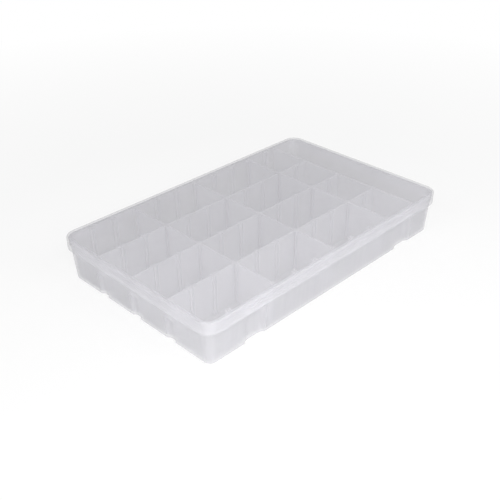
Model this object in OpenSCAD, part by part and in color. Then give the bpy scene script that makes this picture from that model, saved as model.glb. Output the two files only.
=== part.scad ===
// Thread box: a shallow tray with fixed rows and loose dividers under a hinged lid
// Millimetres. The tray stands on z = 0, centred on the origin. Length is along X, the front is at -Y.

/* [Lid] */
// Length over the lid's skirt
lid_length = 270; // [220:1:340]
// Width over the lid's skirt
lid_width = 169; // [140:1:220]
// Radius of the lid's corners, seen from above
lid_corner_r = 11.5; // [10:0.5:20]
// Thickness of the lid's top
lid_top_t = 1.6; // [1.2:0.1:2.4]
// Thickness of the lid's skirt
skirt_t = 1.6; // [1.2:0.1:2.2]
// Height of the lid from the lower edge of its skirt to its top
skirt_h = 10.5; // [9:0.5:15]
// Radius of the rounded edge round the lid's top
lid_edge_r = 1.5; // [0.6:0.1:1.5]

/* [Tray] */
// Height of the closed box
box_height = 38.5; // [34:0.5:60]
// Thickness of the tray's outer walls
wall_t = 1.8; // [1.4:0.1:2.4]
// Thickness of the tray's floor
floor_t = 1.6; // [1.2:0.1:2.4]
// How far the outer walls lean in from the rim to the foot
wall_lean = 2.5; // [1:0.1:3]
// Radius of the rounded edge round the tray's foot
foot_edge_r = 1.2; // [0.6:0.1:1.6]
// How much less than the radius inside the lid's corners that of the tray's rim is, besides the gap
corner_ease = 0.6; // [0:0.1:0.7]

/* [Inner walls] */
// Thickness of the fixed walls between the rows
row_wall_t = 1.6; // [1.2:0.1:2.2]
// Thickness of the fixed cross wall beside the long compartment
end_wall_t = 1.6; // [1.2:0.1:2.2]
// Clear width of the long compartment at its floor
end_tray_w = 26; // [20:1:32]
// Distance from one slot for a divider to the next
slot_pitch = 22; // [18:0.5:26]
// Width of each guide rib beside a slot
rib_w = 1.2; // [0.8:0.1:1.6]
// How far the guide ribs stand out from the wall
rib_d = 1.5; // [1:0.1:2]
// Least length of plain wall between a slot's ribs and the wall across the end
slot_clear = 6; // [2:1:10]

/* [Dividers] */
// Thickness of a divider
divider_t = 1.4; // [1:0.1:2]
// Bevel on the lower corners of a divider
divider_bevel = 2; // [1:0.5:4]
// Slots from the middle divider of a row to its neighbours
divider_step = 3; // [2:1:3]

/* [Scoops and grooves] */
// Distance between the two finger scoops in the front wall
scoop_spacing = 178; // [150:1:190]
// How far the middle of the two scoops is set off towards the long compartment
scoop_shift = 2.5; // [-5:0.5:5]
// Width of a finger scoop at the foot
scoop_w = 21; // [15:1:24]
// Depth of a finger scoop at the foot
scoop_depth = 2.9; // [2:0.1:4.6]
// Radius of the round ends of a finger scoop, seen from above
scoop_end_r = 7; // [6:0.5:8]
// Width of the grooves in the left wall where the rows end
groove_w = 9.8; // [8:0.2:12]
// Depth of those grooves at the foot
groove_depth = 2.4; // [1:0.1:2.6]
// Radius of the round ends of a groove, seen from above
groove_end_r = 4; // [4:0.5:5]
// Height of those grooves above the foot
groove_h = 20; // [12:1:22]
// Height of plain wall between a finger scoop and the lid's skirt
scoop_ledge = 2; // [1:0.5:4]

/* [Hinge] */
// Distance between the two hinges on the back wall
hinge_spacing = 176; // [140:1:190]
// Outer radius of the hinge knuckles and ears
knuckle_r = 3.2; // [2.8:0.1:3.6]
// Width of a lid knuckle
knuckle_w = 18; // [12:1:24]
// Radius of the pins moulded on the knuckles
pin_r = 1.6; // [1.2:0.1:1.8]
// Thickness of a tray ear
ear_t = 3; // [2:0.5:4]
// How far an ear reaches down the back wall below the hinge
ear_drop = 12; // [8:1:14]

/* [Snap catch] */
// Length of each snap ridge and bead
snap_length = 18; // [10:1:24]
// How far the ridges and beads stand out
snap_depth = 0.2; // [0.1:0.05:0.2]
// Height of the tray's snap ridges above the lower edge of the skirt
snap_rise = 3.6; // [3:0.2:5]

/* [Clearances] */
// Gap between the lid's skirt and the tray's rim
lid_gap = 0.6; // [0.6:0.1:0.9]
// Gap between the inner walls and the lid above them
top_gap = 0.4; // [0.2:0.1:1]
// Gap at each end of a divider
divider_end_gap = 0.3; // [0.2:0.1:0.5]
// Gap at each face of a divider in its slot
slot_gap = 0.15; // [0.1:0.05:0.3]
// Gap round a hinge pin in its ear
pin_gap = 0.05; // [0.03:0.01:0.1]
// Gap between other hinge parts that pass each other
hinge_gap = 0.3; // [0.2:0.05:0.5]

/* [Hidden] */
$fn = 64;
// Overlap that fuses solids of one moulding
fuse = 0.4;
// Reach of a cut past the surface that it opens
past = 1;
// Rows from the front to the back, and a row's dividers from the left
ROW_NAMES = ["front", "second", "third", "back"];
PLACE_NAMES = ["left", "middle", "right"];
tint = [0.86, 0.88, 0.89, 0.55];

// Heights
rim_z = box_height - lid_top_t;
skirt_z = box_height - skirt_h;
inner_top_z = rim_z - top_gap;

// Plan of the lid, from the centres of its corners
lid_cx = lid_length / 2 - lid_corner_r;
lid_cy = lid_width / 2 - lid_corner_r;
lid_inner_y = lid_width / 2 - skirt_t;

// Plan of the tray, from the centres of its corners
rim_half_l = lid_length / 2 - skirt_t - lid_gap;
rim_half_w = lid_width / 2 - skirt_t - lid_gap;
tray_corner_r = lid_corner_r - skirt_t - lid_gap - corner_ease;
tray_cx = rim_half_l - tray_corner_r;
tray_cy = rim_half_w - tray_corner_r;
foot_half_l = rim_half_l - wall_lean;
foot_half_w = rim_half_w - wall_lean;
lean_angle = atan(wall_lean / rim_z);

// Rows, the long compartment and the slots
rows = len(ROW_NAMES);
row_pitch = (foot_half_w - wall_t + row_wall_t / 2) / (rows / 2);
row_clear = row_pitch - row_wall_t;
end_wall_x = foot_half_l - wall_t - end_tray_w - end_wall_t / 2;
slot_w = divider_t + 2 * slot_gap;
slot_margin = slot_w / 2 + rib_w + slot_clear;
first_slot = ceil((slot_margin - foot_half_l + wall_t) / slot_pitch);
last_slot = floor((end_wall_x - end_wall_t / 2 - slot_margin) / slot_pitch);

// Top of the finger scoops
scoop_top_z = skirt_z - scoop_ledge;

// Hinge axis
hinge_y = lid_width / 2 + hinge_gap + knuckle_r;
hinge_z = skirt_z;

// Middle of the finger scoop on the left or right side
function scoop_x(side) = scoop_shift + side * scoop_spacing / 2;

// Half the chord that cuts off a segment of the given depth from a circle
function half_chord(r, depth) = sqrt(depth * (2 * r - depth));

// How far the tray's outer face stands out from a corner centre at height z
function tray_reach(z) = tray_corner_r - wall_lean * (1 - z / rim_z);

// Middle of the tray's back wall at height z
function back_wall_y(z) = tray_cy + tray_reach(z) - wall_t / 2;

// Middle of a row, counted from the front
function row_y(row) = (row - (rows - 1) / 2) * row_pitch;

// Point where a line from a point touches a circle on its lower right side
function tangent_point(from, centre, r) =
    let (d = centre - from,
         reach = sqrt(d * d - r * r),
         turn = atan2(d.y, d.x) - asin(r / norm(d)))
    from + reach * [cos(turn), sin(turn)];

// Sweep a profile, drawn outward from the corner centres, round a rectangle
module around(cx, cy) {
    for (i = [0 : 3]) {
        corner = [i % 3 == 0 ? cx : -cx, i < 2 ? cy : -cy];
        run = i % 2 == 0 ? 2 * cy : 2 * cx;
        translate([corner.x, corner.y, 0]) rotate(90 * i) {
            rotate_extrude(angle = 90) children();
            rotate([90, 0, 0]) linear_extrude(run) children();
        }
    }
}

// Flat middle that closes a swept profile
module middle(cx, cy, z, t) {
    translate([-cx, -cy, z]) cube([2 * cx, 2 * cy, t]);
}

// Sliver outside a rounded outer edge; the wall leans out by lean degrees going up
module edge_sliver(r, lean) {
    t = r / tan(45 + lean / 2);
    difference() {
        polygon([
            [-t, r],
            [-t, -past],
            [past, -past],
            [past, t * cos(lean)],
            [t * sin(lean), t * cos(lean)]
        ]);
        translate([-t, r]) circle(r);
    }
}

// Tray's wall and floor, cut through from a corner centre outward
module tray_profile() {
    foot_r = tray_reach(0);
    difference() {
        polygon([
            [0, 0],
            [foot_r, 0],
            [tray_corner_r, rim_z],
            [tray_corner_r - wall_t, rim_z],
            [tray_reach(floor_t) - wall_t, floor_t],
            [0, floor_t]
        ]);
        translate([foot_r, 0]) edge_sliver(foot_edge_r, lean_angle);
    }
}

// Space inside the middle of the outer walls, to which the inner walls are trimmed
module tray_fill(top_z) {
    bottom_z = floor_t - fuse;
    middle(tray_cx, tray_cy, bottom_z, top_z - bottom_z);
    around(tray_cx, tray_cy) polygon([
        [0, bottom_z],
        [tray_reach(bottom_z) - wall_t / 2, bottom_z],
        [tray_reach(top_z) - wall_t / 2, top_z],
        [0, top_z]
    ]);
}

// Pair of guide ribs on each side of a slot, standing out along +Y from y = 0
module rib_pair(depth) {
    for (side = [-1, 1])
        translate([side * (slot_w + rib_w) / 2 - rib_w / 2, 0]) square([rib_w, depth]);
}

// Plan of the fixed walls between the rows, with the ribs on both faces
module row_walls_plan() {
    left = -foot_half_l;
    for (i = [1 : rows - 1]) {
        y = row_y(i) - row_pitch / 2;
        translate([left, y - row_wall_t / 2]) square([end_wall_x - left, row_wall_t]);
        for (slot = [first_slot : last_slot], side = [0, 1])
            translate([slot * slot_pitch, y]) mirror([0, side]) rib_pair(row_wall_t / 2 + rib_d);
    }
}

// Plan of the ribs on the front and back walls; the front ones keep clear of the scoops
module outer_ribs_plan() {
    tip_y = foot_half_w - wall_t - rib_d;
    for (slot = [first_slot : last_slot], side = [0, 1]) {
        x = slot * slot_pitch;
        to_scoop = min(abs(x - scoop_x(-1)), abs(x - scoop_x(1)));
        in_scoop = to_scoop < scoop_w / 2 + wall_t + slot_w / 2 + rib_w;
        if (side == 0 || !in_scoop)
            mirror([0, side]) translate([x, tip_y]) rib_pair(rim_half_w - tip_y);
    }
}

// Fixed inner walls of the tray
module inner_walls() {
    intersection() {
        translate([0, 0, floor_t - fuse]) linear_extrude(inner_top_z - floor_t + fuse) {
            row_walls_plan();
            outer_ribs_plan();
            translate([end_wall_x - end_wall_t / 2, -rim_half_w]) square([end_wall_t, 2 * rim_half_w]);
        }
        tray_fill(inner_top_z);
    }
}

// Plan of a hollow with a flat back and round ends that reaches into a wall along +Y from y = 0
module hollow_plan(w, depth, end_r, grow) {
    half_flat = w / 2 - half_chord(end_r, depth);
    r = end_r + grow;
    translate([0, depth - end_r]) {
        for (side = [-1, 1])
            translate([side * half_flat, 0]) circle(r);
        translate([-half_flat, -r]) square([2 * half_flat, 2 * r]);
    }
}

// Upright hollow of the outer wall: grow is the wall round it, or 0 for the cut itself
module hollow(w, depth, end_r, top_z, grow) {
    bottom_z = grow > 0 ? floor_t - fuse : -past;
    translate([0, 0, bottom_z]) linear_extrude(top_z + grow - bottom_z) hollow_plan(w, depth, end_r, grow);
}

// All hollows of the outer walls: two finger scoops and a groove at the end of each row wall
module hollows(grow) {
    for (side = [-1, 1])
        translate([scoop_x(side), -foot_half_w])
            hollow(scoop_w, scoop_depth, scoop_end_r, scoop_top_z, grow);
    for (i = [1 : rows - 1])
        translate([-foot_half_l, row_y(i) - row_pitch / 2]) rotate(-90)
            hollow(groove_w, groove_depth, groove_end_r, groove_h, grow);
}

// Ear with its pin hole, drawn in the plane across the hinge axis
module ear_profile() {
    low = [back_wall_y(hinge_z - ear_drop), hinge_z - ear_drop];
    high_z = hinge_z - hinge_gap;
    hinge = [hinge_y, hinge_z];
    difference() {
        union() {
            translate(hinge) circle(knuckle_r);
            polygon([
                low,
                [back_wall_y(high_z), high_z],
                [hinge_y, high_z],
                hinge,
                tangent_point(low, hinge, knuckle_r)
            ]);
        }
        translate(hinge) circle(pin_r + pin_gap);
    }
}

// Turn a profile drawn in Y and Z into a slab of thickness t, centred on x
module slab(x, t) {
    translate([x - t / 2, 0, 0]) rotate([90, 0, 90]) linear_extrude(t) children();
}

// Two ears at each hinge, standing off the back wall
module hinge_ears() {
    for (side = [-1, 1], ear = [-1, 1])
        slab(side * hinge_spacing / 2 + ear * (knuckle_w / 2 + hinge_gap + ear_t / 2), ear_t) ear_profile();
}

// Round bar along X, centred on x, for a snap ridge or bead
module snap_bar(x, y, z) {
    translate([x - snap_length / 2, y, z]) rotate([0, 90, 0]) cylinder(r = skirt_t / 2, h = snap_length);
}

// Tray with its floor, walls, ribs, scoops, snap ridges and hinge ears
module base_tray() {
    ridge_y = -rim_half_w - snap_depth + skirt_t / 2;
    color(tint) union() {
        difference() {
            union() {
                middle(tray_cx, tray_cy, 0, floor_t);
                around(tray_cx, tray_cy) tray_profile();
                inner_walls();
                intersection() {
                    hollows(wall_t);
                    tray_fill(inner_top_z);
                }
            }
            hollows(0);
        }
        for (side = [-1, 1])
            snap_bar(scoop_x(side), ridge_y, skirt_z + snap_rise);
        hinge_ears();
    }
}

// Lid's top and skirt, cut through from a corner centre outward
module lid_profile() {
    difference() {
        polygon([
            [0, rim_z],
            [lid_corner_r - skirt_t, rim_z],
            [lid_corner_r - skirt_t, skirt_z],
            [lid_corner_r, skirt_z],
            [lid_corner_r, box_height],
            [0, box_height]
        ]);
        translate([lid_corner_r, box_height]) mirror([0, 1]) edge_sliver(lid_edge_r, 0);
    }
}

// Knuckle with the arm that joins it to the skirt, drawn in the plane across the hinge axis
module knuckle_profile() {
    skirt_y = lid_width / 2 - fuse;
    translate([hinge_y, hinge_z]) circle(knuckle_r);
    polygon([
        [skirt_y, hinge_z],
        [hinge_y, hinge_z],
        [hinge_y, hinge_z + knuckle_r],
        [skirt_y, hinge_z + 2 * knuckle_r]
    ]);
}

// Lid's half of one hinge: a knuckle with a pin moulded on both ends
module lid_knuckle(x) {
    slab(x, knuckle_w) knuckle_profile();
    slab(x, knuckle_w + 2 * ear_t) translate([hinge_y, hinge_z]) circle(pin_r);
}

// Lid with its skirt, snap beads, knuckles and pins
module lid() {
    bead_y = -lid_inner_y + snap_depth - skirt_t / 2;
    bead_z = skirt_z + skirt_t / 2;
    color(tint) union() {
        middle(lid_cx, lid_cy, rim_z, lid_top_t);
        around(lid_cx, lid_cy) lid_profile();
        for (side = [-1, 1]) {
            snap_bar(scoop_x(side), bead_y, bead_z);
            lid_knuckle(side * hinge_spacing / 2);
        }
    }
}

// Loose divider standing on the floor in a slot of its row
module divider(row, place) {
    w = row_clear - 2 * divider_end_gap;
    h = inner_top_z - floor_t;
    x = (place - 1) * divider_step * slot_pitch;
    color(tint) translate([0, row_y(row), floor_t]) slab(x, divider_t) polygon([
        [-w / 2 + divider_bevel, 0],
        [w / 2 - divider_bevel, 0],
        [w / 2, divider_bevel],
        [w / 2, h],
        [-w / 2, h],
        [-w / 2, divider_bevel]
    ]);
}

base_tray();
lid();
for (row = [0 : rows - 1], place = [0 : len(PLACE_NAMES) - 1])
    divider(row, place);
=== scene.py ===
"""Looks of the embroidery thread box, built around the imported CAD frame. Metres, Z up."""

import bpy
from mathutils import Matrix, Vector

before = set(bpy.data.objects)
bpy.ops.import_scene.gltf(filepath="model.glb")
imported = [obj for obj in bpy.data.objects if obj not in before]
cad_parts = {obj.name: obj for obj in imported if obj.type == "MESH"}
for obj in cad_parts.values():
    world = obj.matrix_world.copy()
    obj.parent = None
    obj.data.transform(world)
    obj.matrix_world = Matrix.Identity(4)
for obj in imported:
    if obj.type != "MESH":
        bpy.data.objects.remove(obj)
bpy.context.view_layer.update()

MM = 0.001

# Camera, fitted to the photograph
CAMERA_PLACE = Vector((-0.3924, -0.3819, 0.3399))
CAMERA_AIM = Vector((0, 0, 0))
CAMERA_LENS = 54.92
CAMERA_SHIFT = (-0.0190, 0.0019)

# Colours of the plastic where it is thick with haze, where it is clearer, and where it is scuffed; the last
# is also the painted highlight along its edges
HAZY = (0.83, 0.825, 0.86, 1)
CLEAR = (0.89, 0.885, 0.92, 1)
SCUFF_AND_EDGE_HIGHLIGHT = (0.94, 0.94, 0.95, 1)

# Share of the light that one face of each moulding stops
LID_OPACITY = 0.245
TRAY_OPACITY = 0.32
DIVIDER_OPACITY = 0.35

# Skin of the plastic
LID_ROUGHNESS = 0.4
WALL_ROUGHNESS = 0.35
REFRACTION = 1.49
EDGE_RADIUS = 0.35 * MM
BUMP_DEPTH = 0.1 * MM
BUMP_STRENGTH = 0.25

# Patterns in the plastic, in lumps per metre
CLOUDS = 28
RIPPLES = 70
GRAINS = 1600
SCRATCHES = 700
SCUFF_PATCHES = 22
TRAY_LINES = 400
DIVIDER_LINES = 800

# Scales that draw a pattern out along one axis
ALONG_X = (0.03, 1, 1)
ALONG_Y = (1, 0.03, 1)
UP_THE_WALLS = (1, 1, 0.02)

# Streaks of melt in the lid: how many to a radian round its middle, and how much they change on the way out
STREAKS = 9
STREAK_CHANGE = (0.1, 0.1, 0.1)

# White paper, a little under the object so that no faces lie in one plane
WHITE = (1, 1, 1, 1)
PAPER = (0.92, 0.92, 0.92, 1)
FLOOR_HALF = 6
FLOOR_GAP = 0.3 * MM

# Share of the paper that shows as plain white, by distance in metres. The rest of it takes the shadow.
PLAIN_WHITE = [(0.25, 0.8), (0.7, 1)]

# Painted shade on the paper seen through plastic: its grey behind no plastic, behind half of the faces below,
# and behind all of them or more
FACES_TO_GREY = 4
PAPER_BEHIND = [(0, 1), (0.5, 0.75), (1, 0.25)]

# Strength of the room as the camera sees it, and as the plastic does
ROOM_SEEN = 1
ROOM_LIGHT = 0.24

# Faces of clear plastic that a ray may cross
FACES_CROSSED = 48

# Places of the colour sockets on a Mix node, which has others with the same names
MIX_FACTOR = 0
MIX_LOW = 6
MIX_HIGH = 7
MIX_RESULT = 2


class Wire:
    """An output socket. Python's operators on it add Math nodes to its finish."""

    def __init__(self, finish, socket):
        self.finish = finish
        self.socket = socket

    def math(self, operation, *values):
        return self.finish.add("Math", {"operation": operation}, dict(enumerate(values)))

    def __add__(self, other):
        return self.math("ADD", self, other)

    def __radd__(self, other):
        return self.math("ADD", other, self)

    def __sub__(self, other):
        return self.math("SUBTRACT", self, other)

    def __rsub__(self, other):
        return self.math("SUBTRACT", other, self)

    def __mul__(self, other):
        return self.math("MULTIPLY", self, other)

    def __truediv__(self, other):
        return self.math("DIVIDE", self, other)


class Finish:
    """The nodes of a material or of the world."""

    def __init__(self, owner):
        owner.use_nodes = True
        self.owner = owner
        self.nodes = owner.node_tree.nodes
        self.links = owner.node_tree.links
        self.nodes.clear()

    def add(self, kind, settings, sockets, output=0):
        """Adds a node: its settings first, then a value or a link for each socket."""
        node = self.nodes.new("ShaderNode" + kind)
        for name, value in settings.items():
            if name == "stops":
                self.set_stops(node.color_ramp, value)
            else:
                setattr(node, name, value)
        for name, value in sockets.items():
            if isinstance(value, Wire):
                self.links.new(value.socket, node.inputs[name])
            else:
                node.inputs[name].default_value = value
        return Wire(self, node.outputs[output]) if node.outputs else node

    @staticmethod
    def set_stops(ramp, stops):
        """Gives a ramp its stops, each a place and a grey level."""
        while len(ramp.elements) < len(stops):
            ramp.elements.new(1)
        for element, (place, level) in zip(ramp.elements, stops):
            element.position = place
            element.color = (level, level, level, 1)

    def place(self):
        """Point on the piece, in metres in the frame of the part."""
        return self.add("TexCoord", {}, {}, "Object")

    def stretch(self, point, scale):
        """Point with each axis scaled, which draws a pattern out along the small ones."""
        return self.add("VectorMath", {"operation": "MULTIPLY"}, {0: point, 1: scale})

    def noise(self, point, per_metre, detail=2, roughness=0.5):
        """Noise from 0 to 1 with so many lumps per metre."""
        sockets = {"Vector": point, "Scale": per_metre, "Detail": detail, "Roughness": roughness}
        return self.add("TexNoise", {}, sockets)

    def ramp(self, value, stops):
        """Grey level that the stops give for a value from 0 to 1."""
        return self.add("ValToRGB", {"stops": stops}, {"Fac": value})

    def mix_colours(self, factor, low, high):
        """Colour that goes from low to high as the factor goes from 0 to 1."""
        sockets = {MIX_FACTOR: factor, MIX_LOW: low, MIX_HIGH: high}
        return self.add("Mix", {"data_type": "RGBA"}, sockets, MIX_RESULT)

    def rays(self, kind):
        """1 for light paths of a kind and 0 for others, or how many clear faces a path has crossed."""
        return self.add("LightPath", {}, {}, kind)

    def output(self, kind, shader):
        """Ends the nodes in a Material or a World output."""
        self.add("Output" + kind, {}, {"Surface": shader})
        return self.owner


def vary(pattern, spread):
    """Change of a value, half of its spread up or down, that follows a pattern from 0 to 1."""
    return (pattern - 0.5) * spread


def scratches_along(finish, place, run):
    """Sparse fine scratches that run along one axis."""
    lines = finish.noise(finish.stretch(place, run), SCRATCHES, detail=1)
    return finish.ramp(lines, [(0.72, 0), (0.78, 1)])


def scuffs(finish, place):
    """Fine scratches in two directions, in patches."""
    crossed = scratches_along(finish, place, ALONG_X) + scratches_along(finish, place, ALONG_Y)
    patches = finish.ramp(finish.noise(place, SCUFF_PATCHES), [(0.40, 0), (0.65, 1)])
    return crossed * patches


def rounded_edges(finish):
    """Normal that rounds the edges off, and 1 where it does so and 0 on flat faces."""
    rounded = finish.add("Bevel", {"samples": 6}, {"Radius": EDGE_RADIUS})
    flat = finish.add("NewGeometry", {}, {}, "Normal")
    facing = finish.add("VectorMath", {"operation": "DOT_PRODUCT"}, {0: rounded, 1: flat}, "Value")
    return rounded, finish.ramp(1 - facing, [(0.01, 0), (0.2, 1)])


def frosted_plastic(finish, place, marks, opacity, roughness):
    """Translucent polypropylene: cloudy in the mass, frosted on the skin, pale along its scuffs, with a
    painted highlight along its edges.
    """
    clouds = finish.noise(place, CLOUDS)
    grain = finish.noise(place, GRAINS, roughness=0.6)
    ripple = finish.noise(place, RIPPLES, detail=1)
    scratches = scuffs(finish, place)
    rounded, edges = rounded_edges(finish)

    colour = finish.mix_colours(clouds, HAZY, CLEAR)
    # Paler along the edges, a painted highlight where edges would catch the light, and paler on the scuffs,
    # which is real wear
    colour = finish.mix_colours(edges * 0.3 + scratches * 0.3, colour, SCUFF_AND_EDGE_HIGHLIGHT)
    bump = finish.add("Bump", {}, {
        "Strength": BUMP_STRENGTH,
        "Distance": BUMP_DEPTH,
        "Height": grain + ripple * 3 + marks * 2 - scratches * 0.5,
        "Normal": rounded,
    })
    shader = finish.add("BsdfPrincipled", {}, {
        "Base Color": colour,
        "Roughness": roughness + vary(grain, 0.2) + vary(marks, 0.1) + scratches * 0.1,
        "IOR": REFRACTION,
        "Alpha": opacity + vary(clouds, 0.04) + vary(marks, 0.03),
        "Normal": bump,
    })
    return finish.output("Material", shader)


def lid_plastic():
    """Plastic of the lid, with faint streaks where the melt spread out from the gate in its middle."""
    finish = Finish(bpy.data.materials.new("frosted_lid"))
    place = finish.place()
    flat = finish.stretch(place, (1, 1, 0))
    way_out = finish.add("VectorMath", {"operation": "NORMALIZE"}, {0: flat})
    spread = finish.add("VectorMath", {"operation": "MULTIPLY_ADD"}, {0: flat, 1: STREAK_CHANGE, 2: way_out})
    return frosted_plastic(finish, place, finish.noise(spread, STREAKS), LID_OPACITY, LID_ROUGHNESS)


def tray_plastic():
    """Plastic of the tray, with faint lines up its walls where it was drawn off the mould."""
    finish = Finish(bpy.data.materials.new("frosted_tray"))
    place = finish.place()
    lines = finish.noise(finish.stretch(place, UP_THE_WALLS), TRAY_LINES, detail=3)
    return frosted_plastic(finish, place, lines, TRAY_OPACITY, WALL_ROUGHNESS)


def divider_plastic():
    """Plastic of the dividers, a little denser, with finer lines up them."""
    finish = Finish(bpy.data.materials.new("frosted_divider"))
    place = finish.place()
    lines = finish.noise(finish.stretch(place, UP_THE_WALLS), DIVIDER_LINES)
    return frosted_plastic(finish, place, lines, DIVIDER_OPACITY, WALL_ROUGHNESS)


def cover(names, material):
    """Gives CAD nodes their finish."""
    for name in names:
        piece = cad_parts[name]
        piece.data.materials.clear()
        piece.data.materials.append(material)


def white_paper():
    """Paper that looks white where nothing is in front and keeps the shadow, with painted shade where it is
    seen through plastic.
    """
    finish = Finish(bpy.data.materials.new("paper_floor"))
    # Grey where the paper is seen through plastic: painted shade on the paper behind the object
    painted_shade = finish.ramp(finish.rays("Transparent Depth") / FACES_TO_GREY, PAPER_BEHIND)
    seen = finish.rays("Is Camera Ray") + finish.rays("Is Glossy Ray") + finish.rays("Is Transmission Ray")
    distance = finish.add("VectorMath", {"operation": "LENGTH"}, {0: finish.place()}, "Value")
    paper = finish.add("BsdfDiffuse", {}, {"Color": PAPER})
    glow = finish.add("Emission", {}, {"Color": painted_shade})
    mixed = finish.add("MixShader", {}, {0: seen * finish.ramp(distance, PLAIN_WHITE), 1: paper, 2: glow})
    return finish.output("Material", mixed)


def lay_floor():
    """Square of white paper under the object."""
    mesh = bpy.data.meshes.new("floor")
    half = FLOOR_HALF
    corners = [(-half, -half), (half, -half), (half, half), (-half, half)]
    mesh.from_pydata([(x, y, -FLOOR_GAP) for x, y in corners], [], [(0, 1, 2, 3)])
    mesh.materials.append(white_paper())
    floor = bpy.data.objects.new("floor", mesh)
    bpy.context.scene.collection.objects.link(floor)


def hang_lamp(name, place, size, power):
    """Square soft box that faces the object."""
    lamp = bpy.data.lights.new(name, "AREA")
    lamp.size = size
    lamp.energy = power
    holder = bpy.data.objects.new(name, lamp)
    holder.location = place
    holder.rotation_mode = "QUATERNION"
    holder.rotation_quaternion = (-Vector(place)).to_track_quat("-Z", "Y")
    bpy.context.scene.collection.objects.link(holder)


def light_the_room():
    """Soft boxes round the object, in a room that is white where the camera sees it, also through glass.

    Gloss sees the dim room that gives the light: a white one speckles it, and no piece is metal or glass.
    """
    room = Finish(bpy.data.worlds.new("studio"))
    dim = room.add("Background", {}, {"Color": WHITE, "Strength": ROOM_LIGHT})
    white = room.add("Background", {}, {"Color": WHITE, "Strength": ROOM_SEEN})
    seen = room.rays("Is Camera Ray") + room.rays("Is Transmission Ray")
    mixed = room.add("MixShader", {}, {0: seen, 1: dim, 2: white})
    bpy.context.scene.world = room.output("World", mixed)
    hang_lamp("left_box", place=(-1.1, 0, 0.7), size=0.6, power=4.6)
    hang_lamp("near_box", place=(-0.33, -0.36, 0.36), size=0.25, power=1.6)
    hang_lamp("front_box", place=(0.1, -0.6, 0.5), size=0.4, power=2.3)
    hang_lamp("back_box", place=(0.9, 0.7, 0.6), size=0.8, power=3.5)


def set_camera():
    """Camera of the photograph."""
    camera = bpy.data.cameras.new("camera")
    camera.lens = CAMERA_LENS
    camera.shift_x, camera.shift_y = CAMERA_SHIFT
    holder = bpy.data.objects.new("camera", camera)
    holder.location = CAMERA_PLACE
    holder.rotation_mode = "QUATERNION"
    holder.rotation_quaternion = (CAMERA_AIM - CAMERA_PLACE).to_track_quat("-Z", "Y")
    bpy.context.scene.collection.objects.link(holder)
    bpy.context.scene.camera = holder


set_camera()
lay_floor()
light_the_room()
bpy.context.scene.view_settings.view_transform = "Standard"
bpy.context.scene.cycles.transparent_max_bounces = FACES_CROSSED

cover(["base_tray"], tray_plastic())
cover(["lid"], lid_plastic())
cover([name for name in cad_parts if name.startswith("divider")], divider_plastic())
